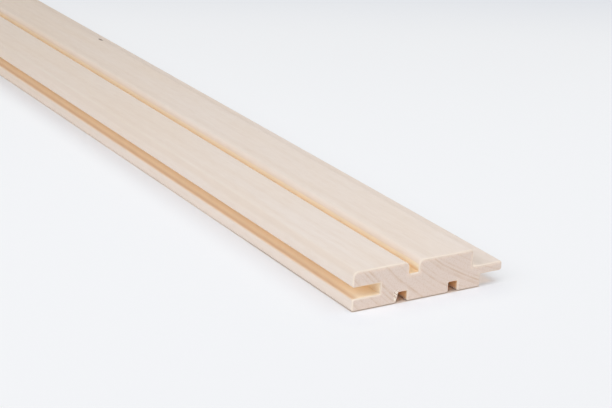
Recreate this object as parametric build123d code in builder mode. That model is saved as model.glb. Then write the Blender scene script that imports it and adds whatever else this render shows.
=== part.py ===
"""Grooved wood profile: one tongue-and-grooved lining board, lying on its back.

Units are millimetres. X runs across the board from the slotted edge (-X) to the tongue (+X),
Y runs along the grain and Z points up out of the moulded face. The origin is on the floor,
under the middle of the board.
"""

import os

from build123d import *

os.makedirs("parts", exist_ok=True)

# The stock
length = 1800.0
thickness = 15.0

# The moulded face: two strips with a groove between them, and an open gap before the tongue's root
face_strip_width = 23.5
face_groove_width = 4.0
face_groove_depth = 4.7
shadow_gap = 3.5

# The joint: the tongue, and the play that the slot leaves round a neighbour's tongue
tongue_reach = 9.5
tongue_thickness = 3.7
lower_lip_thickness = 4.7
play_under_tongue = 0.1
play_over_tongue = 0.5
play_past_tongue = 2.0

# The two relief grooves that keep the back flat
relief_width = 3.8
relief_depth = 4.0
relief_inset = 21.0
relief_spacing = 21.6

# Eased arrises, inside corners and ends
face_arris_radius = 2.2
shoulder_arris_radius = 1.2
back_arris_radius = 0.8
tongue_arris_radius = 1.0
inside_corner_radius = 0.4
end_arris_radius = 0.6

# Widths across the board
face_width = 2 * face_strip_width + face_groove_width
cover_width = face_width + shadow_gap
overall_width = cover_width + tongue_reach
slot_depth = tongue_reach + play_past_tongue
slot_height = play_under_tongue + tongue_thickness + play_over_tongue

# Places across the board, from the slotted edge to the tongue's tip
slot_edge = -overall_width / 2
slot_root = slot_edge + slot_depth
face_groove_middle = slot_edge + face_strip_width + face_groove_width / 2
upper_shoulder = slot_edge + face_width
lower_shoulder = slot_edge + cover_width
tongue_tip = slot_edge + overall_width
relief_middles = [slot_edge + relief_inset, slot_edge + relief_inset + relief_spacing]
face_groove_sides = [
    face_groove_middle + side * face_groove_width / 2
    for side in (-1, 1)
]
relief_sides = [
    middle + side * relief_width / 2
    for middle in relief_middles
    for side in (-1, 1)
]

# Heights above the floor
slot_bottom = lower_lip_thickness
slot_top = slot_bottom + slot_height
tongue_bottom = lower_lip_thickness + play_under_tongue
tongue_top = tongue_bottom + tongue_thickness
face_groove_floor = thickness - face_groove_depth


def corners(section, *places):
    """The section's corner nearest to each place, given as (across, height)."""
    return [section.vertices().sort_by_distance(place)[0] for place in places]


with BuildPart() as profile_board:
    with BuildSketch(Plane.XZ) as section:
        # The outline, along the back, round the tongue and back over the face
        with BuildLine():
            Polyline(
                (slot_edge, 0),
                (lower_shoulder, 0),
                (lower_shoulder, tongue_bottom),
                (tongue_tip, tongue_bottom),
                (tongue_tip, tongue_top),
                (upper_shoulder, tongue_top),
                (upper_shoulder, thickness),
                (slot_edge, thickness),
                close=True,
            )
        make_face()

        # The slot in the edge, open for a neighbour's tongue
        with Locations((slot_edge, slot_bottom)):
            Rectangle(slot_depth, slot_height, align=Align.MIN, mode=Mode.SUBTRACT)

        # The groove down the middle of the face
        with Locations((face_groove_middle, face_groove_floor)):
            Rectangle(
                face_groove_width,
                face_groove_depth,
                align=(Align.CENTER, Align.MIN),
                mode=Mode.SUBTRACT,
            )

        # The relief grooves in the back
        with Locations(*[(middle, 0) for middle in relief_middles]):
            Rectangle(
                relief_width,
                relief_depth,
                align=(Align.CENTER, Align.MIN),
                mode=Mode.SUBTRACT,
            )

        # Inside corners of the slot, the grooves and the tongue's root
        inside_corners = corners(
            section,
            (slot_root, slot_bottom),
            (slot_root, slot_top),
            (upper_shoulder, tongue_top),
            (lower_shoulder, tongue_bottom),
            *[(side, face_groove_floor) for side in face_groove_sides],
            *[(side, relief_depth) for side in relief_sides],
        )
        fillet(inside_corners, inside_corner_radius)

        # Arrises, softest where the face is seen and handled
        face_arrises = corners(
            section,
            (slot_edge, thickness),
            *[(side, thickness) for side in face_groove_sides],
        )
        fillet(face_arrises, face_arris_radius)
        fillet(corners(section, (upper_shoulder, thickness)), shoulder_arris_radius)
        tongue_arrises = corners(section, (tongue_tip, tongue_bottom), (tongue_tip, tongue_top))
        fillet(tongue_arrises, tongue_arris_radius)
        back_arrises = corners(
            section,
            (slot_edge, 0),
            (slot_edge, slot_bottom),
            (slot_edge, slot_top),
            (lower_shoulder, 0),
            *[(side, 0) for side in relief_sides],
        )
        fillet(back_arrises, back_arris_radius)
    extrude(amount=length / 2, both=True)

    # Both sawn ends are eased all round the section
    sawn_ends = profile_board.faces().filter_by(Axis.Y).group_by(Axis.Y)
    fillet([*sawn_ends[0].edges(), *sawn_ends[-1].edges()], end_arris_radius)

profile_board.part.label = "profile_board"
export_step(profile_board.part, "parts/profile_board.step")
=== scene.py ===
"""A grooved wood profile lying on its back: one pale, planed, tongue-and-grooved lining board.

The board is modelled over its construction solid, at the same size and place, and dressed in a
procedural wood whose growth rings run through the whole board, so that the rings on the sawn
ends meet the grain of the face.

The wood and the board's section are worked out in millimetres: in names that end in _mm and in
the places that ProfileBoard works out. All other lengths are in metres. Fields that hold angles
hold degrees.
"""

from __future__ import annotations

import logging
import math
from dataclasses import dataclass
from enum import Enum

import bmesh
import bpy
from mathutils import Matrix, Vector

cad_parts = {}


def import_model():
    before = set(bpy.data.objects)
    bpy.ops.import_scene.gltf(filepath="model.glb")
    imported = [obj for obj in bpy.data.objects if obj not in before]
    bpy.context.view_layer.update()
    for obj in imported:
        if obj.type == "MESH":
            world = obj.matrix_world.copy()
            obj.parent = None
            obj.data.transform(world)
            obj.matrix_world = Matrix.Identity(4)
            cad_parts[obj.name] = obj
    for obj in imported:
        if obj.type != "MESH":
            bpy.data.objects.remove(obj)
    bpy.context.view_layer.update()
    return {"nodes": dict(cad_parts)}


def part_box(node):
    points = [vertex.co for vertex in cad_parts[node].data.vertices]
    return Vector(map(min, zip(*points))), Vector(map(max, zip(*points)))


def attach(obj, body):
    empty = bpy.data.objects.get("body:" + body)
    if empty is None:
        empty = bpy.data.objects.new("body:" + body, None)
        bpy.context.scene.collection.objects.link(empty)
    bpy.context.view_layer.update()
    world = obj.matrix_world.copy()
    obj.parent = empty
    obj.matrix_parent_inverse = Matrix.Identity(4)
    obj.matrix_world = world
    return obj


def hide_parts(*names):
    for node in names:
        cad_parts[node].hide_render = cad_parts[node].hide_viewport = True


LOG = logging.getLogger("grooved_wood_profile")
MM = 0.001
Colour = tuple[float, float, float]
Triple = tuple[float, float, float]
Socket = bpy.types.NodeSocket

# A place on two axes, and the two values between which something changes
Place = tuple[float, float]
Band = tuple[float, float]


def srgb(red: int, green: int, blue: int) -> Colour:
    """Turns a colour as a screen shows it into the linear values that a shader takes.

    Args:
        red: Red from 0 to 255.
        green: Green from 0 to 255.
        blue: Blue from 0 to 255.

    Returns:
        The same colour, linear, from 0 to 1.
    """
    shares = [value / 255 for value in (red, green, blue)]
    return tuple(s / 12.92 if s <= 0.04045 else ((s + 0.055) / 1.055) ** 2.4 for s in shares)


class Surface(Enum):
    """The vertex attributes that tell the finish what kind of surface it is on."""

    END_GRAIN = "end_grain"
    SLOT = "slot_depth"
    GROOVE = "groove_depth"
    RELIEF = "relief_depth"
    ARRIS = "arris_turn"
    BROW = "brow_turn"
    GAP = "gap_nearness"
    FOOT = "foot_height"


@dataclass(frozen=True)
class Area:
    """A rectangle, such as one that a cutter takes out of the section, or a part of the floor."""

    low: Place
    high: Place

    def holds(self, x: float, z: float, margin: float = 0.0) -> bool:
        """Tells whether a place in the section lies in the rectangle.

        Args:
            x: The place across the board.
            z: Its height.
            margin: How far outside the rectangle still counts as in it.

        Returns:
            Whether the place lies in it.
        """
        inside_x = self.low[0] - margin < x < self.high[0] + margin
        inside_z = self.low[1] - margin < z < self.high[1] + margin
        return inside_x and inside_z


# What bounds the section, and how far the painted edge highlight on the sawn ends reaches from it
Edge = tuple[Area, float]


@dataclass(frozen=True)
class Pattern:
    """A soft noise in the wood.

    It changes per_mm times in a millimetre along X, Y and Z. Used as patches, it goes from the
    first of its shares to the second while the noise goes through its band.
    """

    per_mm: Triple
    detail: float = 2.0
    roughness: float = 0.5
    band: Band = (0.0, 1.0)
    shares: Band = (0.0, 1.0)


class NodeSheet:
    """Lays out the shader nodes of a material or a world."""

    def __init__(self, owner: bpy.types.Material | bpy.types.World) -> None:
        """Clears the nodes of a material or a world.

        Args:
            owner: The material or world.
        """
        owner.use_nodes = True
        self.owner = owner
        self.tree = owner.node_tree
        self.tree.nodes.clear()

    def add(self, kind: str, **settings: object) -> bpy.types.Node:
        """Adds one node.

        Args:
            kind: The node's type, without the words that all shader nodes start with.
            **settings: Attributes to set on the node.

        Returns:
            The new node.
        """
        node = self.tree.nodes.new(f"ShaderNode{kind}")
        for name, value in settings.items():
            setattr(node, name, value)
        return node

    def feed(self, socket: Socket, value: Socket | float | Colour) -> None:
        """Links an output to an input, or sets the input's own value.

        Args:
            socket: The input to feed.
            value: An output socket, a number or a colour.
        """
        if isinstance(value, bpy.types.NodeSocket):
            self.tree.links.new(value, socket)
        elif socket.type == "RGBA":
            socket.default_value = (*value, 1.0)
        else:
            socket.default_value = value

    def math(self, operation: str, *values: Socket | float) -> Socket:
        """Works out a number.

        Args:
            operation: The Math node's operation.
            *values: Its inputs in order.

        Returns:
            The result.
        """
        node = self.add("Math", operation=operation)
        for socket, value in zip(node.inputs, values):
            self.feed(socket, value)
        return node.outputs[0]

    def step(self, value: Socket, start: float, end: float) -> Socket:
        """Goes smoothly from 0 at start to 1 at end, whichever of the two is the higher.

        Args:
            value: The number to judge.
            start: Where the result is 0.
            end: Where the result is 1.

        Returns:
            The share from 0 to 1.
        """
        node = self.add("MapRange", interpolation_type="SMOOTHSTEP")
        self.feed(node.inputs["Value"], value)
        node.inputs["From Min"].default_value = min(start, end)
        node.inputs["From Max"].default_value = max(start, end)
        node.inputs["To Min"].default_value = 0.0 if start < end else 1.0
        node.inputs["To Max"].default_value = 1.0 if start < end else 0.0
        return node.outputs["Result"]

    def mix(self, share: Socket | float, first: Socket | Colour, second: Socket | Colour) -> Socket:
        """Blends two colours.

        Args:
            share: How much of the second colour there is, from 0 to 1.
            first: The colour at 0.
            second: The colour at 1.

        Returns:
            The blended colour.
        """
        node = self.add("Mix", data_type="RGBA")
        self.feed(node.inputs[0], share)
        ends = [socket for socket in node.inputs if socket.type == "RGBA"]
        self.feed(ends[0], first)
        self.feed(ends[1], second)
        return next(socket for socket in node.outputs if socket.type == "RGBA")

    def split(self, place: Socket) -> list[Socket]:
        """Takes coordinates apart.

        Args:
            place: The coordinates.

        Returns:
            Their X, Y and Z.
        """
        node = self.add("SeparateXYZ")
        self.feed(node.inputs[0], place)
        return list(node.outputs)

    def stretch(self, place: Socket, factors: Triple) -> Socket:
        """Scales coordinates.

        Args:
            place: The coordinates.
            factors: What X, Y and Z are multiplied by.

        Returns:
            The scaled coordinates.
        """
        node = self.add("Mapping")
        self.feed(node.inputs["Vector"], place)
        node.inputs["Scale"].default_value = factors
        return node.outputs["Vector"]

    def noise(self, place: Socket, pattern: Pattern) -> Socket:
        """Adds a soft noise.

        Args:
            place: Coordinates in millimetres.
            pattern: How the noise changes along them.

        Returns:
            The noise, from 0 to 1 and mostly near a half.
        """
        node = self.add("TexNoise")
        self.feed(node.inputs["Vector"], self.stretch(place, pattern.per_mm))
        node.inputs["Scale"].default_value = 1.0
        node.inputs["Detail"].default_value = pattern.detail
        node.inputs["Roughness"].default_value = pattern.roughness
        return node.outputs["Fac"]

    def patches(self, place: Socket, pattern: Pattern) -> Socket:
        """Adds a noise that is sharpened into patches.

        Args:
            place: Coordinates in millimetres.
            pattern: How the noise changes along them, with its band and its shares.

        Returns:
            The pattern's share at each place.
        """
        least, most = pattern.shares
        sharpened = self.step(self.noise(place, pattern), *pattern.band)
        return self.math("MULTIPLY_ADD", sharpened, most - least, least)

    def clearance(self, across: Socket, along: Socket, area: Area) -> Socket:
        """Works out how far a place is from a rectangle.

        Args:
            across: The place's first coordinate.
            along: Its second coordinate.
            area: The rectangle.

        Returns:
            The distance, 0 inside.
        """
        squares = []
        for axis, value in enumerate((across, along)):
            middle = (area.low[axis] + area.high[axis]) / 2
            reach = (area.high[axis] - area.low[axis]) / 2
            off = self.math("ABSOLUTE", self.math("SUBTRACT", value, middle))
            gap = self.math("MAXIMUM", self.math("SUBTRACT", off, reach), 0.0)
            squares.append(self.math("POWER", gap, 2.0))
        return self.math("SQRT", self.math("ADD", *squares))

    def attribute(self, surface: Surface) -> Socket:
        """Reads one of the piece's own vertex attributes."""
        return self.add("Attribute", attribute_name=surface.value).outputs["Fac"]

    def finish(self, surface: Socket) -> bpy.types.Material | bpy.types.World:
        """Adds the output.

        Args:
            surface: The shader that the output shows.

        Returns:
            The finished material or world.
        """
        is_world = isinstance(self.owner, bpy.types.World)
        output = self.add("OutputWorld" if is_world else "OutputMaterial")
        self.feed(output.inputs["Surface"], surface)
        return self.owner


@dataclass(frozen=True)
class PalePlanedWood:
    """Finish: pale, fine-grained hardwood, planed on the long faces and sawn at the ends."""

    name: str = "pale_planed_wood"
    roughness: float = 0.5
    roughness_swing: float = 0.16
    sawn_roughness: float = 0.2
    specular: float = 0.3

    # The fine relief
    relief_mm: float = 0.05
    ring_relief: float = 0.25
    saw_marks: Pattern = Pattern((2.2, 1.0, 0.12), detail=3.0)

    # The growth rings, round a pith that lies outside the board
    pith_mm: Place = (52.0, 80.0)
    pith_drift: float = 0.0035
    half_length_mm: float = 900.0
    ring_width_mm: float = 2.4
    ring_wander: Pattern = Pattern((0.03, 0.004, 0.03), detail=3.0)
    ring_wander_mm: float = 3.0
    ring_uneven_scale: float = 0.35
    ring_uneven: float = 1.6
    ring_faintest: float = 0.2
    ring_contrast: float = 0.5
    late_wood_rise: Band = (0.55, 0.95)
    late_wood_fall: Band = (1.0, 0.97)
    soft_ring_rise: Band = (0.1, 0.5)
    dark_rings_mm: tuple[float, ...] = (83.1, 96.3, 101.8)
    dark_ring_width_mm: float = 0.55
    dark_ring_share: float = 0.85
    dark_ring_spread: float = 3.0

    # The long faces
    pale: Colour = srgb(234, 222, 212)
    warm: Colour = srgb(233, 216, 199)
    # Painted falloff of the light: the long faces turn warmer and a little darker away from the
    # near end
    painted_falloff_run_mm: Band = (-880.0, -480.0)
    painted_falloff_share: float = 0.6
    warm_clouds: Pattern = Pattern((0.07, 0.012, 0.07), 3.0, band=(0.3, 0.7), shares=(0.0, 0.4))
    ring: Colour = srgb(205, 178, 152)
    ring_share: float = 0.1
    mottle: Pattern = Pattern((0.5, 0.12, 0.5), band=(0.4, 0.7), shares=(0.0, 0.07))
    long_fibres: Pattern = Pattern((1.1, 0.03, 1.1), detail=3.0, roughness=0.6)
    short_fibres: Pattern = Pattern((1.9, 0.22, 1.9))
    short_fibre_share: float = 0.5
    streak_rise: Band = (0.45, 0.7)
    streak_share: float = 0.1

    # The sawn ends, by bands of END_GRAIN, which is 0 on the long faces and 1 on the flat ends
    end_grain: Colour = srgb(231, 214, 203)
    end_rise: Band = (0.8, 1.0)
    end_ring: Colour = srgb(208, 178, 150)
    end_ring_clouds: Pattern = Pattern((0.22,) * 3, band=(0.35, 0.65), shares=(0.35, 0.75))
    pores: Pattern = Pattern((1.6,) * 3, 3.0, 0.6, band=(0.45, 0.7), shares=(0.0, 0.3))
    # A painted highlight along the end face's edges, broken up by the ragged patches
    painted_edge_highlight: Colour = srgb(243, 223, 206)
    ragged: Pattern = Pattern((0.9,) * 3, band=(0.35, 0.65), shares=(0.4, 1.0))
    # A painted highlight on the eased rim of the sawn ends
    eased: Colour = srgb(237, 222, 207)
    eased_rise: Band = (0.0, 0.2)
    eased_fall: Band = (1.0, 0.9)

    # The torn fibres beside one relief groove, at the near end
    torn_mm: Area = Area((-14.2, 1.6), (-13.4, 4.4))
    torn_reach_mm: float = 1.2
    torn_run_mm: Band = (-880.0, -899.0)
    tufts: Pattern = Pattern((1.9,) * 3, detail=1.0)
    tuft: Colour = srgb(255, 246, 234)
    tuft_rise: Band = (0.44, 0.58)
    tuft_shade: Colour = srgb(186, 154, 128)
    tuft_shade_rise: Band = (0.46, 0.36)

    # Painted light and shade in the recesses and on the arrises, each by a band of its own
    # attribute, and only off the flat ends
    painted_light_and_shade: tuple[tuple[Surface, Band, Colour], ...] = (
        # painted shade at the slot's mouth, then painted bounce light deeper in the slot
        (Surface.SLOT, (0.0, 0.35), srgb(224, 195, 161)),
        (Surface.SLOT, (0.7, 3.6), srgb(254, 241, 219)),
        # painted light high on the groove's walls, painted warm bounce light deeper in it
        (Surface.GROOVE, (0.2, 2.6), srgb(247, 236, 214)),
        (Surface.GROOVE, (2.6, 4.5), srgb(240, 208, 165)),
        # painted warm bounce light in the relief grooves
        (Surface.RELIEF, (0.1, 1.5), srgb(240, 196, 142)),
        # painted shade on the board's left top arris and on the groove's near brow
        (Surface.ARRIS, (0.0, 1.0), srgb(223, 208, 194)),
        (Surface.BROW, (0.0, 0.3), srgb(231, 206, 176)),
        # painted light in the gap over the tongue, beside the shoulder
        (Surface.GAP, (0.0, 1.0), srgb(255, 241, 227)),
    )
    painted_light_share: float = 0.9
    painted_light_fall: Band = (1.0, 0.7)

    # Painted contact shadow on the foot of the near end, where it meets the floor
    foot: Colour = srgb(150, 118, 92)
    contact_shadow_band_mm: Band = (0.6, 0.1)
    contact_shadow_run_mm: Band = (-785.0, -850.0)
    contact_shadow_share: float = 0.6

    # The pin knot beside the shoulder, by its middle and its half sizes
    knot: Colour = srgb(122, 99, 82)
    knot_mm: Triple = (17.9, -582.5, 15.0)
    knot_size_mm: Triple = (1.4, 2.9, 10.0)
    knot_edge: Band = (1.0, 0.35)

    def material(self, edges: list[Edge]) -> bpy.types.Material:
        """Builds the finish.

        Args:
            edges: What bounds the section.

        Returns:
            The finished material.
        """
        sheet = NodeSheet(bpy.data.materials.new(self.name))
        place = sheet.stretch(sheet.add("TexCoord").outputs["Object"], (1 / MM,) * 3)
        flat_end = sheet.step(sheet.attribute(Surface.END_GRAIN), *self.end_rise)
        rings, soft_rings = self.rings(sheet, place)
        fibres = self.fibres(sheet, place)
        long_faces = self.long_grain(sheet, place, soft_rings, fibres)
        sawn = self.end_face(sheet, place, rings, edges)
        colour = self.with_painted_light_and_knot(sheet, place, sheet.mix(flat_end, long_faces, sawn))

        bump = sheet.add("Bump")
        bump.inputs["Distance"].default_value = self.relief_mm * MM
        bump.inputs["Strength"].default_value = 1.0
        sheet.feed(bump.inputs["Height"], self.relief(sheet, place, rings, fibres, flat_end))
        shader = sheet.add("BsdfPrincipled")
        shader.inputs["Specular IOR Level"].default_value = self.specular
        sheet.feed(shader.inputs["Base Color"], colour)
        sheet.feed(shader.inputs["Roughness"], self.sheen_spread(sheet, fibres, flat_end))
        sheet.feed(shader.inputs["Normal"], bump.outputs["Normal"])
        return sheet.finish(shader.outputs["BSDF"])

    def rings(self, sheet: NodeSheet, place: Socket) -> tuple[Socket, Socket]:
        """Works out the growth rings round the pith.

        Args:
            sheet: The material's nodes.
            place: Coordinates in millimetres.

        Returns:
            How dark the late wood is at each place, from 0 to 1, as fine lines and as soft ones.
        """
        radius = self.pith_distance(sheet, place)
        number = sheet.math("DIVIDE", radius, self.ring_width_mm)
        uneven = sheet.add("TexNoise", noise_dimensions="1D")
        sheet.feed(uneven.inputs["W"], number)
        uneven.inputs["Scale"].default_value = self.ring_uneven_scale
        number = sheet.math("MULTIPLY_ADD", uneven.outputs["Fac"], self.ring_uneven, number)
        year = sheet.add("TexWhiteNoise", noise_dimensions="1D")
        sheet.feed(year.inputs["W"], sheet.math("FLOOR", number))
        strength = sheet.math(
            "MULTIPLY_ADD", year.outputs["Value"], self.ring_contrast, self.ring_faintest
        )

        within = sheet.math("FRACT", number)
        rise = sheet.step(within, *self.late_wood_rise)
        late = sheet.math("MULTIPLY", rise, sheet.step(within, *self.late_wood_fall))
        line = sheet.math("MULTIPLY", late, strength)
        swell = sheet.step(sheet.math("PINGPONG", number, 0.5), *self.soft_ring_rise)
        soft = sheet.math("MULTIPLY", swell, strength)

        spread = self.dark_ring_spread * self.dark_ring_width_mm
        for dark in self.dark_rings_mm:
            away = sheet.math("ABSOLUTE", sheet.math("SUBTRACT", radius, dark))
            dark_line = sheet.step(away, self.dark_ring_width_mm, 0.0)
            dark_line = sheet.math("MULTIPLY", dark_line, self.dark_ring_share)
            line = sheet.math("MAXIMUM", line, dark_line)
            soft = sheet.math("MAXIMUM", soft, sheet.step(away, spread, 0.0))
        return line, soft

    def pith_distance(self, sheet: NodeSheet, place: Socket) -> Socket:
        """Works out how far each place is from the pith, which drifts sideways along the board.

        Args:
            sheet: The material's nodes.
            place: Coordinates in millimetres.

        Returns:
            The distance in millimetres, with some wander.
        """
        x, y, z = sheet.split(place)
        along = sheet.math("ADD", y, self.half_length_mm)
        drift = sheet.math("MULTIPLY", along, self.pith_drift)
        across = sheet.math("SUBTRACT", sheet.math("ADD", x, drift), self.pith_mm[0])
        height = sheet.math("SUBTRACT", z, self.pith_mm[1])
        squares = [sheet.math("POWER", value, 2.0) for value in (across, height)]
        distance = sheet.math("SQRT", sheet.math("ADD", *squares))
        wander = sheet.noise(place, self.ring_wander)
        distance = sheet.math("MULTIPLY_ADD", wander, self.ring_wander_mm, distance)
        return sheet.math("SUBTRACT", distance, self.ring_wander_mm / 2)

    def fibres(self, sheet: NodeSheet, place: Socket) -> Socket:
        """Adds the fine streaks that run along the grain.

        Args:
            sheet: The material's nodes.
            place: Coordinates in millimetres.

        Returns:
            The streaks, from 0 to 1.
        """
        long = sheet.noise(place, self.long_fibres)
        short = sheet.noise(place, self.short_fibres)
        long = sheet.math("MULTIPLY", long, 1 - self.short_fibre_share)
        return sheet.math("MULTIPLY_ADD", short, self.short_fibre_share, long)

    def long_grain(self, sheet: NodeSheet, place: Socket, rings: Socket, fibres: Socket) -> Socket:
        """Colours the long faces, with a painted falloff of the light away from the near end.

        Args:
            sheet: The material's nodes.
            place: Coordinates in millimetres.
            rings: The growth rings as soft lines.
            fibres: The fine streaks.

        Returns:
            The colour.
        """
        along = sheet.split(place)[1]
        # painted falloff of the light along the board, added to the warm clouds
        run = sheet.step(along, *self.painted_falloff_run_mm)
        run = sheet.math("MULTIPLY", run, self.painted_falloff_share)
        warm = sheet.math("ADD", sheet.patches(place, self.warm_clouds), run)
        colour = sheet.mix(warm, self.pale, self.warm)
        streaks = sheet.step(fibres, *self.streak_rise)
        darker = (
            sheet.patches(place, self.mottle),
            sheet.math("MULTIPLY", streaks, self.streak_share),
            sheet.math("MULTIPLY", rings, self.ring_share),
        )
        for share in darker:
            colour = sheet.mix(share, colour, self.ring)
        return colour

    def end_face(
        self, sheet: NodeSheet, place: Socket, rings: Socket, edges: list[Edge]
    ) -> Socket:
        """Colours the sawn ends: rings, open pores and a painted highlight along their edges.

        Args:
            sheet: The material's nodes.
            place: Coordinates in millimetres.
            rings: The growth rings.
            edges: What bounds the section.

        Returns:
            The colour.
        """
        colour = sheet.mix(sheet.patches(place, self.pores), self.end_grain, self.end_ring)
        drawn = sheet.math("MULTIPLY", rings, sheet.patches(place, self.end_ring_clouds))
        colour = sheet.mix(drawn, colour, self.end_ring)
        x, _, z = sheet.split(place)
        # painted highlight along the edges of the end face
        pale = 0.0
        for area, reach in edges:
            near = sheet.step(sheet.clearance(x, z, area), reach, 0.0)
            pale = sheet.math("MAXIMUM", near, pale)
        pale = sheet.math("MULTIPLY", pale, sheet.patches(place, self.ragged))
        return self.tufted(sheet, place, sheet.mix(pale, colour, self.painted_edge_highlight))

    def tufted(self, sheet: NodeSheet, place: Socket, colour: Socket) -> Socket:
        """Adds the pale tufts of torn fibres, and the shade between them.

        Args:
            sheet: The material's nodes.
            place: Coordinates in millimetres.
            colour: The colour of the sawn end.

        Returns:
            The colour with the tufts.
        """
        x, y, z = sheet.split(place)
        beside = sheet.step(sheet.clearance(x, z, self.torn_mm), self.torn_reach_mm, 0.0)
        torn = sheet.math("MULTIPLY", beside, sheet.step(y, *self.torn_run_mm))
        tufts = sheet.noise(place, self.tufts)
        for rise, tone in ((self.tuft_rise, self.tuft), (self.tuft_shade_rise, self.tuft_shade)):
            share = sheet.math("MULTIPLY", torn, sheet.step(tufts, *rise))
            colour = sheet.mix(share, colour, tone)
        return colour

    def with_painted_light_and_knot(self, sheet: NodeSheet, place: Socket, colour: Socket) -> Socket:
        """Paints light and shade on recesses, arrises, eased rims and the foot, and marks the knot.

        Args:
            sheet: The material's nodes.
            place: Coordinates in millimetres.
            colour: The colour of the plain wood.

        Returns:
            The colour with its painted light and shade, and the knot.
        """
        ends = sheet.attribute(Surface.END_GRAIN)
        strength = sheet.math("MULTIPLY", sheet.step(ends, *self.painted_light_fall), self.painted_light_share)
        # painted light and shade in the recesses and on the arrises
        for surface, rise, tint in self.painted_light_and_shade:
            share = sheet.step(sheet.attribute(surface), *rise)
            colour = sheet.mix(sheet.math("MULTIPLY", share, strength), colour, tint)
        # painted highlight on the eased rim of the ends
        eased = sheet.step(ends, *self.eased_rise)
        eased = sheet.math("MULTIPLY", eased, sheet.step(ends, *self.eased_fall))
        colour = sheet.mix(eased, colour, self.eased)
        # painted contact shadow along the foot of the near end
        colour = sheet.mix(self.contact(sheet, place), colour, self.foot)
        return sheet.mix(self.pin_knot(sheet, place), colour, self.knot)

    def contact(self, sheet: NodeSheet, place: Socket) -> Socket:
        """Paints a contact shadow on the foot of the near end, where it meets the floor.

        Args:
            sheet: The material's nodes.
            place: Coordinates in millimetres.

        Returns:
            How much of the painted shadow's colour there is.
        """
        along = sheet.split(place)[1]
        foot = sheet.step(sheet.attribute(Surface.FOOT), *self.contact_shadow_band_mm)
        foot = sheet.math("MULTIPLY", foot, sheet.step(along, *self.contact_shadow_run_mm))
        return sheet.math("MULTIPLY", foot, self.contact_shadow_share)

    def pin_knot(self, sheet: NodeSheet, place: Socket) -> Socket:
        """Marks the one small pin knot beside the shoulder.

        Args:
            sheet: The material's nodes.
            place: Coordinates in millimetres.

        Returns:
            How much of the knot's colour there is.
        """
        measures = list(zip(self.knot_mm, self.knot_size_mm))
        node = sheet.add("Mapping", vector_type="POINT")
        sheet.feed(node.inputs["Vector"], place)
        node.inputs["Scale"].default_value = [1 / size for _, size in measures]
        node.inputs["Location"].default_value = [-middle / size for middle, size in measures]
        away = sheet.add("VectorMath", operation="LENGTH")
        sheet.feed(away.inputs[0], node.outputs["Vector"])
        return sheet.step(away.outputs["Value"], *self.knot_edge)

    def sheen_spread(self, sheet: NodeSheet, fibres: Socket, flat_end: Socket) -> Socket:
        """Varies the roughness along the fibres, and roughens the sawn ends.

        Args:
            sheet: The material's nodes.
            fibres: The fine streaks.
            flat_end: Where the ends are.

        Returns:
            The roughness.
        """
        least = self.roughness - self.roughness_swing / 2
        planed = sheet.math("MULTIPLY_ADD", fibres, self.roughness_swing, least)
        return sheet.math("MULTIPLY_ADD", flat_end, self.sawn_roughness, planed)

    def relief(
        self, sheet: NodeSheet, place: Socket, rings: Socket, fibres: Socket, flat_end: Socket
    ) -> Socket:
        """Gives the height of the fine relief: fibres along the board, saw marks on the ends.

        Args:
            sheet: The material's nodes.
            place: Coordinates in millimetres.
            rings: The growth rings.
            fibres: The fine streaks.
            flat_end: Where the ends are.

        Returns:
            The height, from 0 to about 1.
        """
        planed = sheet.math("MULTIPLY_ADD", rings, self.ring_relief, fibres)
        pick = sheet.add("Mix", data_type="FLOAT")
        sheet.feed(pick.inputs[0], flat_end)
        sheet.feed(pick.inputs[2], planed)
        sheet.feed(pick.inputs[3], sheet.noise(place, self.saw_marks))
        return pick.outputs[0]


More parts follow.
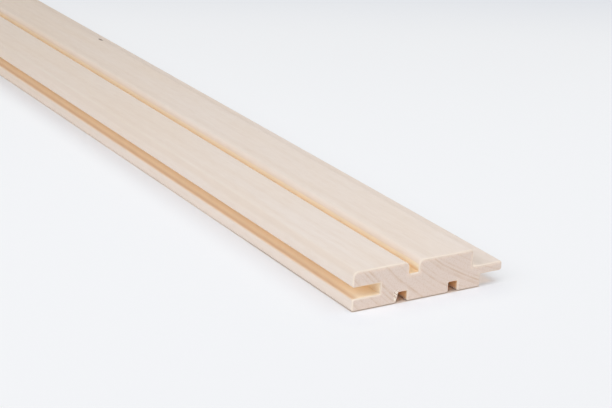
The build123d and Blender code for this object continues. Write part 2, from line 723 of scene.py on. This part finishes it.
@dataclass(frozen=True)
class PaleFloor:
    """Finish: the plain pale floor, which the camera sees evenly lit but for the soft shadows.

    Only the camera sees the floor's glow, which fades out beside what stands there. The glow's
    tone goes from near to far, then darkens towards the edge along the direction away, as a painted
    falloff of the light.
    """

    name: str = "pale_floor"
    roughness: float = 0.9
    tone_lit: Colour = srgb(249, 250, 251)
    tone_seen: Colour = srgb(238, 240, 244)
    # Painted shade: to the camera, the floor under the board is darker and warmer
    painted_shade_under: Colour = srgb(230, 221, 212)
    under_margin: Band = (0.0, 0.0002)
    glow_share: float = 0.62
    glow_margin: Band = (0.0, 0.016)
    glow_near: Colour = srgb(240, 240, 241)
    glow_far: Colour = srgb(253, 254, 255)
    # Painted falloff of the light: the glow darkens and cools towards the far edge
    glow_edge: Colour = srgb(223, 228, 238)
    away: Triple = (0.52, 0.85, 0.0)
    near_to_far: Band = (-1.1, -0.5)
    far_to_edge: Band = (-0.42, -0.17)

    # Painted warm bounce light from the wood on the floor under the tongue, measured from the near
    # right corner
    painted_bounce_tone: Colour = srgb(252, 234, 222)
    painted_bounce_area: Area = Area((0.0, 0.004), (0.006, 0.05))
    painted_bounce_reach: Band = (0.005, 0.0)
    painted_bounce_share: float = 0.75

    def material(self, low: Vector, high: Vector) -> bpy.types.Material:
        """Builds the finish.

        Args:
            low: The low corner of what stands on the floor.
            high: Its high corner.

        Returns:
            The finished material.
        """
        sheet = NodeSheet(bpy.data.materials.new(self.name))
        place = sheet.add("TexCoord").outputs["Object"]
        x, y, _ = sheet.split(place)
        clearance = sheet.clearance(x, y, Area((low.x, low.y), (high.x, high.y)))
        corner = (high.x, low.y)
        beside = Area(
            tuple(start + offset for start, offset in zip(corner, self.painted_bounce_area.low)),
            tuple(start + offset for start, offset in zip(corner, self.painted_bounce_area.high)),
        )
        warm = sheet.step(sheet.clearance(x, y, beside), *self.painted_bounce_reach)
        seen = sheet.add("LightPath").outputs["Is Camera Ray"]

        shader = sheet.add("BsdfPrincipled")
        # painted shade under the board, seen through the reliefs and the gap at the foot
        bare = sheet.step(clearance, *self.under_margin)
        tone = sheet.mix(bare, self.painted_shade_under, self.tone_seen)
        sheet.feed(shader.inputs["Base Color"], sheet.mix(seen, self.tone_lit, tone))
        shader.inputs["Roughness"].default_value = self.roughness
        shader.inputs["Specular IOR Level"].default_value = 0.0
        glow = sheet.add("Emission")
        sheet.feed(glow.inputs["Color"], self.glow_tone(sheet, place, warm))

        # the painted bounce light also lifts the shadow under the tongue
        lifted = sheet.math("MULTIPLY", warm, self.painted_bounce_share)
        clear = sheet.math("MAXIMUM", sheet.step(clearance, *self.glow_margin), lifted)
        share = sheet.math("MULTIPLY", sheet.math("MULTIPLY", seen, self.glow_share), clear)
        blend = sheet.add("MixShader")
        sheet.feed(blend.inputs[0], share)
        sheet.feed(blend.inputs[1], shader.outputs["BSDF"])
        sheet.feed(blend.inputs[2], glow.outputs["Emission"])
        return sheet.finish(blend.outputs["Shader"])

    def glow_tone(self, sheet: NodeSheet, place: Socket, warm: Socket) -> Socket:
        """Colours the glow.

        Args:
            sheet: The material's nodes.
            place: Coordinates in metres.
            warm: How much of the painted bounce light from the wood there is.

        Returns:
            The colour.
        """
        away = sheet.add("VectorMath", operation="DOT_PRODUCT")
        sheet.feed(away.inputs[0], place)
        away.inputs[1].default_value = self.away
        far = sheet.step(away.outputs["Value"], *self.near_to_far)
        edge = sheet.step(away.outputs["Value"], *self.far_to_edge)
        tone = sheet.mix(edge, sheet.mix(far, self.glow_near, self.glow_far), self.glow_edge)
        return sheet.mix(warm, tone, self.painted_bounce_tone)


@dataclass(frozen=True)
class Tear:
    """A bite out of a wall's foot at the near end: how high, how far in and how deep it is."""

    height_mm: float
    reach_mm: float
    depth_mm: float


@dataclass
class ProfileBoard:
    """The board: a moulded section, extruded along the grain, with eased sawn ends.

    The overall width, thickness and length come from the construction solid's box, whose corners
    are in metres. The places that are worked out from them are in millimetres.
    """

    low: Vector
    high: Vector
    face_strip_mm: float = 23.5
    face_groove_width_mm: float = 4.0
    face_groove_depth_mm: float = 4.7
    tongue_reach_mm: float = 9.5
    tongue_bottom_mm: float = 4.8
    tongue_top_mm: float = 8.5
    slot_depth_mm: float = 11.5
    slot_bottom_mm: float = 4.7
    slot_top_mm: float = 9.0
    relief_inset_mm: float = 21.0
    relief_spacing_mm: float = 21.6
    relief_width_mm: float = 3.8
    relief_depth_mm: float = 4.0
    face_arris_mm: float = 2.2
    shoulder_arris_mm: float = 1.2
    back_arris_mm: float = 0.8
    tongue_arris_mm: float = 1.0
    inside_corner_mm: float = 0.4
    end_arris_mm: float = 0.6
    tears: tuple[Tear, ...] = (Tear(2.4, 2.5, 0.2), Tear(1.0, 4.5, 0.5))

    # How the mesh is made
    overshoot_mm: float = 5.0
    weld_mm: float = 0.001
    flat_angle: float = 1.0
    smooth_angle: float = 35.0
    arris_segments_per_mm: float = 4.0
    least_segments: int = 2
    end_segments: int = 5
    wall_step_mm: float = 1.6
    end_cuts_mm: tuple[float, ...] = (1.0, 1.5, 2.1, 2.8, 3.8, 5.5, 8.0, 12.0, 20.0, 40.0)
    cut_spacing_mm: float = 100.0

    # How the surfaces are marked for the finish
    touch_mm: float = 0.05
    mouth_mm: float = 0.22
    gap_reach_mm: float = 4.0
    # How far the painted highlight on the ends reaches in from the section's edges
    wide_edge_highlight_mm: float = 2.0
    narrow_edge_highlight_mm: float = 1.0

    def __post_init__(self) -> None:
        """Works out the places across the board and the cutters' areas."""
        self.left = self.low.x / MM
        self.right = self.high.x / MM
        self.top = self.high.z / MM
        self.near = self.low.y / MM
        self.far = self.high.y / MM
        self.upper_shoulder = self.left + 2 * self.face_strip_mm + self.face_groove_width_mm
        self.lower_shoulder = self.right - self.tongue_reach_mm
        self.slot_root = self.left + self.slot_depth_mm
        groove = self.left + self.face_strip_mm
        self.groove_sides = (groove, groove + self.face_groove_width_mm)
        self.groove_floor = self.top - self.face_groove_depth_mm
        middle = self.left + self.relief_inset_mm
        self.relief_sides = [
            middle + step * self.relief_spacing_mm + side * self.relief_width_mm / 2
            for step in (0, 1)
            for side in (-1, 1)
        ]
        past_left = self.left - self.overshoot_mm
        past_right = self.right + self.overshoot_mm
        past_back = -self.overshoot_mm
        past_top = self.top + self.overshoot_mm
        self.slot = Area((past_left, self.slot_bottom_mm), (self.slot_root, self.slot_top_mm))
        self.face_groove = Area((groove, self.groove_floor), (self.groove_sides[1], past_top))
        self.reliefs = [
            Area((side, past_back), (side + self.relief_width_mm, self.relief_depth_mm))
            for side in self.relief_sides[::2]
        ]
        self.over_tongue = Area((self.upper_shoulder, self.tongue_top_mm), (past_right, past_top))
        self.over_face = Area((past_left, self.top), (past_right, past_top))
        self.under_tongue = Area(
            (self.lower_shoulder, past_back), (past_right, self.tongue_bottom_mm)
        )

    def sawn_edges(self) -> list[Edge]:
        """Lists what bounds the section.

        Returns:
            The areas round it, each with how far the painted edge highlight reaches from it.
        """
        wide = [self.over_face, self.face_groove, self.over_tongue]
        narrow = [self.slot, *self.reliefs]
        edges = [(area, self.wide_edge_highlight_mm) for area in wide]
        return edges + [(area, self.narrow_edge_highlight_mm) for area in narrow]

    def build(self, finish: bpy.types.Material) -> bpy.types.Object:
        """Models the board and dresses it.

        Args:
            finish: The wood.

        Returns:
            The finished board.
        """
        bpy.ops.object.select_all(action="DESELECT")
        board = self.start_section()
        self.cut_recesses()
        self.round_section()
        self.divide_walls()
        self.extrude_length()
        self.ease_ends()
        self.cross_cut()
        self.tear_out()
        bpy.ops.object.mode_set(mode="OBJECT")
        self.mark_surfaces(board)
        self.smooth(board)
        board.data.materials.append(finish)
        return board

    def start_section(self) -> bpy.types.Object:
        """Adds a plane as wide and thick as the stock at the near end, and goes into edit mode.

        Returns:
            The board's object.
        """
        middle = (self.low + self.high) / 2
        bpy.ops.mesh.primitive_plane_add(size=1)
        board = bpy.context.object
        board.name = "lining_board"
        board.data.name = "lining_board"
        board.scale = (self.high.x - self.low.x, self.high.z - self.low.z, 1)
        board.rotation_euler = (math.radians(90), 0, 0)
        board.location = (middle.x, self.low.y, middle.z)
        bpy.ops.object.transform_apply(location=True, rotation=True, scale=True)
        bpy.ops.object.mode_set(mode="EDIT")
        return board

    def cut_recesses(self) -> None:
        """Scores the section along each cutter's sides, and takes the waste out."""
        recesses = [self.slot, self.face_groove, *self.reliefs, self.over_tongue, self.under_tongue]
        for recess in recesses:
            for x in (recess.low[0], recess.high[0]):
                if self.left < x < self.right:
                    self.score(Vector((x * MM, 0, 0)), Vector((1, 0, 0)))
            for z in (recess.low[1], recess.high[1]):
                if 0 < z < self.top:
                    self.score(Vector((0, 0, z * MM)), Vector((0, 0, 1)))
        mesh = self.start_selecting("FACE")
        for face in mesh.faces:
            centre = face.calc_center_median() / MM
            face.select_set(any(recess.holds(centre.x, centre.z) for recess in recesses))
        self.end_selecting(mesh)
        bpy.ops.mesh.delete(type="FACE")
        bpy.ops.mesh.select_all(action="SELECT")
        bpy.ops.mesh.dissolve_faces()
        bpy.ops.mesh.select_all(action="SELECT")
        bpy.ops.mesh.dissolve_limited(angle_limit=math.radians(self.flat_angle))

    def score(self, through: Vector, across: Vector) -> None:
        """Cuts everything along a plane, and keeps both sides.

        Args:
            through: A point on the plane.
            across: The plane's normal.
        """
        bpy.ops.mesh.select_all(action="SELECT")
        bpy.ops.mesh.bisect(plane_co=through, plane_no=across, threshold=self.weld_mm * MM)

    def start_selecting(self, mode: str) -> bmesh.types.BMesh:
        """Deselects all and hands out the mesh that is being edited.

        Args:
            mode: What is going to be selected: VERT, EDGE or FACE.

        Returns:
            The edit mesh.
        """
        bpy.ops.mesh.select_mode(type=mode)
        bpy.ops.mesh.select_all(action="DESELECT")
        return bmesh.from_edit_mesh(bpy.context.edit_object.data)

    def end_selecting(self, mesh: bmesh.types.BMesh) -> None:
        """Completes the selection in the mesh that is being edited."""
        mesh.select_flush_mode()
        bmesh.update_edit_mesh(bpy.context.edit_object.data)

    def round_corners(self, radius: float, places: list[Place]) -> None:
        """Rounds corners of the section.

        Args:
            radius: The radius in millimetres.
            places: Where the corners are, across and up, in millimetres.
        """
        mesh = self.start_selecting("VERT")
        for x, z in places:
            corner = min(mesh.verts, key=lambda v: math.dist((v.co.x / MM, v.co.z / MM), (x, z)))
            corner.select_set(True)
        self.end_selecting(mesh)
        bpy.ops.mesh.bevel(
            offset=radius * MM,
            segments=round(self.arris_segments_per_mm * radius) + self.least_segments,
            affect="VERTICES",
            clamp_overlap=False,
        )

    def round_section(self) -> None:
        """Rounds the arrises and the inside corners of the section."""
        groove_top = [(side, self.top) for side in self.groove_sides]
        groove_foot = [(side, self.groove_floor) for side in self.groove_sides]
        relief_mouth = [(side, 0.0) for side in self.relief_sides]
        relief_roof = [(side, self.relief_depth_mm) for side in self.relief_sides]
        inside = [
            (self.slot_root, self.slot_bottom_mm),
            (self.slot_root, self.slot_top_mm),
            (self.upper_shoulder, self.tongue_top_mm),
            (self.lower_shoulder, self.tongue_bottom_mm),
        ]
        tongue = [(self.right, self.tongue_bottom_mm), (self.right, self.tongue_top_mm)]
        back = [
            (self.left, 0.0),
            (self.left, self.slot_bottom_mm),
            (self.left, self.slot_top_mm),
            (self.lower_shoulder, 0.0),
        ]
        self.round_corners(self.inside_corner_mm, inside + groove_foot + relief_roof)
        self.round_corners(self.face_arris_mm, [(self.left, self.top), *groove_top])
        self.round_corners(self.shoulder_arris_mm, [(self.upper_shoulder, self.top)])
        self.round_corners(self.tongue_arris_mm, tongue)
        self.round_corners(self.back_arris_mm, back + relief_mouth)

    def divide_walls(self) -> None:
        """Divides the section's straight stretches, for a finish that changes along them."""
        bpy.ops.mesh.select_all(action="SELECT")
        bpy.ops.mesh.delete(type="ONLY_FACE")
        mesh = self.start_selecting("EDGE")
        lengths = {round(edge.calc_length() / MM / self.wall_step_mm) for edge in mesh.edges}
        for parts in sorted(length for length in lengths if length > 1):
            mesh = self.start_selecting("EDGE")
            for edge in mesh.edges:
                edge.select_set(round(edge.calc_length() / MM / self.wall_step_mm) == parts)
            self.end_selecting(mesh)
            bpy.ops.mesh.subdivide(number_cuts=parts - 1)
        bpy.ops.mesh.select_all(action="SELECT")
        bpy.ops.mesh.edge_face_add()

    def extrude_length(self) -> None:
        """Draws the section out to the board's length."""
        bpy.ops.mesh.select_mode(type="FACE")
        bpy.ops.mesh.select_all(action="SELECT")
        bpy.ops.mesh.extrude_region_move(
            TRANSFORM_OT_translate={"value": (0, self.high.y - self.low.y, 0)}
        )
        bpy.ops.mesh.select_all(action="SELECT")
        bpy.ops.mesh.normals_make_consistent(inside=False)

    def ease_ends(self) -> None:
        """Eases the edges all round both sawn ends."""
        mesh = self.start_selecting("EDGE")
        for edge in mesh.edges:
            ends = [vert.co.y for vert in edge.verts]
            edge.select_set(max(ends) - min(ends) < self.weld_mm * MM)
        self.end_selecting(mesh)
        bpy.ops.mesh.bevel(
            offset=self.end_arris_mm * MM,
            segments=self.end_segments,
            affect="EDGES",
            clamp_overlap=False,
        )

    def cross_cut(self) -> None:
        """Scores the board across its length, closely near the ends and sparsely between."""
        stations = [self.near + cut for cut in self.end_cuts_mm]
        stations += [self.far - cut for cut in self.end_cuts_mm]
        spaces = round((self.far - self.near) / self.cut_spacing_mm)
        stations += [self.near + self.cut_spacing_mm * step for step in range(1, spaces)]
        for station in sorted(stations):
            self.score(Vector((0, station * MM, 0)), Vector((0, 1, 0)))

    def tear_out(self) -> None:
        """Breaks out the foot of one relief groove's wall at the near end, most at the back."""
        wall = self.relief_sides[0]
        band = self.back_arris_mm + self.end_arris_mm
        for tear in self.tears:
            mesh = self.start_selecting("VERT")
            for vert in mesh.verts:
                x, y, z = vert.co / MM
                beside = wall - band - self.weld_mm < x < wall + self.weld_mm
                vert.select_set(beside and z < tear.height_mm and y < self.near + tear.reach_mm)
            self.end_selecting(mesh)
            bpy.ops.transform.translate(value=(-tear.depth_mm * MM, 0, 0))

    def mark_surfaces(self, board: bpy.types.Object) -> None:
        """Writes the attributes that the finish reads, one for each kind of surface.

        Args:
            board: The board.
        """
        vertices = board.data.vertices
        marks = {surface: [0.0] * len(vertices) for surface in Surface}
        for index, vert in enumerate(vertices):
            x, y, z = vert.co / MM
            from_end = min(y - self.near, self.far - y)
            marks[Surface.END_GRAIN][index] = 1 - min(from_end / self.end_arris_mm, 1.0)
            marks[Surface.FOOT][index] = z
            for surface, mark in self.section_marks(x, z).items():
                marks[surface][index] = mark
        for surface, values in marks.items():
            attribute = board.data.attributes.new(surface.value, "FLOAT", "POINT")
            attribute.data.foreach_set("value", values)

    def section_marks(self, x: float, z: float) -> dict[Surface, float]:
        """Tells what kind of surface a place on the section is on.

        Args:
            x: The place across the board, in millimetres.
            z: Its height, in millimetres.

        Returns:
            The kind of surface with its mark, and nothing where the section is plain. The mark is
            the depth in millimetres in the slot, the groove and the reliefs. It is a share, 1 at
            most, on the arrises and in the gap over the tongue. The arris below the slot's mouth
            is marked as the slot's first mouth_mm.
        """
        if self.slot.holds(x, z, self.touch_mm):
            return {Surface.SLOT: x - self.left}
        if self.face_groove.holds(x, z, self.touch_mm):
            return {Surface.GROOVE: self.top - z}
        below_slot = self.slot_bottom_mm - z
        if x < self.left + self.back_arris_mm and 0 < below_slot < self.back_arris_mm:
            return {Surface.SLOT: self.mouth_mm * (1 - below_slot / self.back_arris_mm)}
        arris = self.face_arris_mm
        brow = x - self.groove_sides[0] + arris
        if z > self.top - arris and 0 < brow < arris:
            return {Surface.BROW: brow / arris}
        if z > self.top - arris and x < self.left + arris:
            turn = math.acos((self.left + arris - x) / arris)
            return {Surface.ARRIS: math.sin(2 * turn)}
        under_arris = z < self.top - self.shoulder_arris_mm
        if under_arris and self.over_tongue.holds(x, z, self.touch_mm):
            return {Surface.GAP: 1 - (x - self.upper_shoulder) / self.gap_reach_mm}
        if any(relief.holds(x, z, self.touch_mm) for relief in self.reliefs):
            return {Surface.RELIEF: z}
        return {}

    def smooth(self, board: bpy.types.Object) -> None:
        """Shades the rounded arrises smooth and keeps the flats flat.

        Args:
            board: The board.
        """
        bpy.ops.object.shade_smooth_by_angle(angle=math.radians(self.smooth_angle))
        bpy.ops.object.modifier_add(type="WEIGHTED_NORMAL")
        modifier = board.modifiers[-1]
        modifier.keep_sharp = True
        bpy.ops.object.modifier_apply(modifier=modifier.name)


@dataclass(frozen=True)
class Softbox:
    """One softbox, placed by where it shines on and which way it stands from there."""

    name: str
    aim: Triple
    azimuth: float
    elevation: float
    distance: float
    size: Place
    watts: float
    tone: Colour

    def build(self) -> None:
        """Hangs the softbox."""
        light = bpy.data.lights.new(self.name, "AREA")
        light.shape = "RECTANGLE"
        light.size, light.size_y = self.size
        light.energy = self.watts
        light.color = self.tone
        turn = math.radians(self.azimuth)
        rise = math.radians(self.elevation)
        level = math.cos(rise)
        way = Vector((level * math.sin(turn), level * math.cos(turn), math.sin(rise)))
        lamp = bpy.data.objects.new(self.name, light)
        lamp.location = Vector(self.aim) + way * self.distance
        lamp.rotation_euler = way.to_track_quat("Z", "Y").to_euler()
        bpy.context.scene.collection.objects.link(lamp)


@dataclass(frozen=True)
class Studio:
    """The floor, the soft light and the camera round the board.

    From low to high is the part of the board that stands on the floor, which leaves out the tongue.
    """

    low: Vector
    high: Vector
    floor_size: float = 12.0
    floor_drop_mm: float = 0.05
    sky: Colour = srgb(255, 254, 252)
    sky_strength: float = 0.31
    sky_seen: float = 1.0
    bounces: int = 12
    camera_place_mm: Triple = (-357.07, -1402.69, 255.13)
    camera_yaw: float = -31.225
    camera_pitch: float = 19.816
    camera_roll: float = 2.102
    camera_lens_mm: float = 109.63
    camera_sensor_mm: float = 36.0
    camera_reach: Band = (0.01, 100.0)
    softboxes: tuple[Softbox, ...] = (
        Softbox(
            "overhead",
            aim=(0.0, -0.93, 0.0),
            azimuth=180.0,
            elevation=80.0,
            distance=0.8,
            size=(1.5, 0.45),
            watts=4.6,
            tone=srgb(248, 250, 254),
        ),
        Softbox(
            "left_key",
            aim=(0.0, -0.76, 0.0),
            azimuth=-95.0,
            elevation=35.0,
            distance=1.1,
            size=(1.2, 0.5),
            watts=4.8,
            tone=srgb(250, 251, 254),
        ),
        Softbox(
            "front_fill",
            aim=(0.0, -0.9, 0.0),
            azimuth=180.0,
            elevation=20.0,
            distance=1.2,
            size=(0.7, 0.7),
            watts=2.38,
            tone=srgb(252, 251, 250),
        ),
    )

    def build(self) -> None:
        """Sets up everything round the board, and lets light bounce on deep in the slot."""
        self.floor()
        self.world()
        for softbox in self.softboxes:
            softbox.build()
        self.camera()
        scene = bpy.context.scene
        scene.view_settings.view_transform = "Standard"
        scene.cycles.max_bounces = self.bounces
        scene.cycles.diffuse_bounces = self.bounces

    def floor(self) -> None:
        """Lays the floor just under the board."""
        bpy.ops.object.select_all(action="DESELECT")
        drop = self.floor_drop_mm * MM
        bpy.ops.mesh.primitive_plane_add(size=self.floor_size, location=(0, 0, -drop))
        floor = bpy.context.object
        floor.name = "floor"
        bpy.ops.object.transform_apply(location=True)
        floor.data.materials.append(PaleFloor().material(self.low, self.high))

    def world(self) -> None:
        """Fills the room with even light, and shows it white to the camera and to reflections."""
        sheet = NodeSheet(bpy.data.worlds.new("even_light"))
        path = sheet.add("LightPath")
        share = path.outputs["Is Camera Ray"]
        for kind in ("Is Glossy Ray", "Is Transmission Ray"):
            share = sheet.math("MAXIMUM", share, path.outputs[kind])
        pick = sheet.add("MixShader")
        sheet.feed(pick.inputs[0], share)
        for socket, strength in zip(pick.inputs[1:], (self.sky_strength, self.sky_seen)):
            background = sheet.add("Background")
            sheet.feed(background.inputs["Color"], self.sky)
            sheet.feed(background.inputs["Strength"], strength)
            sheet.feed(socket, background.outputs["Background"])
        bpy.context.scene.world = sheet.finish(pick.outputs["Shader"])

    def camera(self) -> None:
        """Stands the camera where the photograph was taken from."""
        data = bpy.data.cameras.new("camera")
        data.sensor_width = self.camera_sensor_mm
        data.lens = self.camera_lens_mm
        data.clip_start, data.clip_end = self.camera_reach
        camera = bpy.data.objects.new("camera", data)
        turn = Matrix.Rotation(math.radians(self.camera_yaw), 4, "Z")
        tilt = Matrix.Rotation(math.radians(90 - self.camera_pitch), 4, "X")
        roll = Matrix.Rotation(math.radians(self.camera_roll), 4, "Z")
        stand = Matrix.Translation(Vector(self.camera_place_mm) * MM)
        camera.matrix_world = stand @ turn @ tilt @ roll
        bpy.context.scene.collection.objects.link(camera)
        bpy.context.scene.camera = camera


def main() -> None:
    """Builds the board and the studio, and keeps the sizes of both models."""
    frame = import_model()
    low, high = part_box("profile_board")

    model = ProfileBoard(low, high)
    wood = PalePlanedWood().material(model.sawn_edges())
    board = model.build(wood)
    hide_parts("profile_board")
    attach(board, "root")
    LOG.info("%s: %d faces", board.name, len(board.data.polygons))

    Studio(low, Vector((model.lower_shoulder * MM, high.y, high.z))).build()
    LOG.info("studio round %d construction node", len(frame["nodes"]))


if __name__ == "__main__":
    logging.basicConfig(level=logging.INFO, format="%(name)s: %(message)s")
    main()
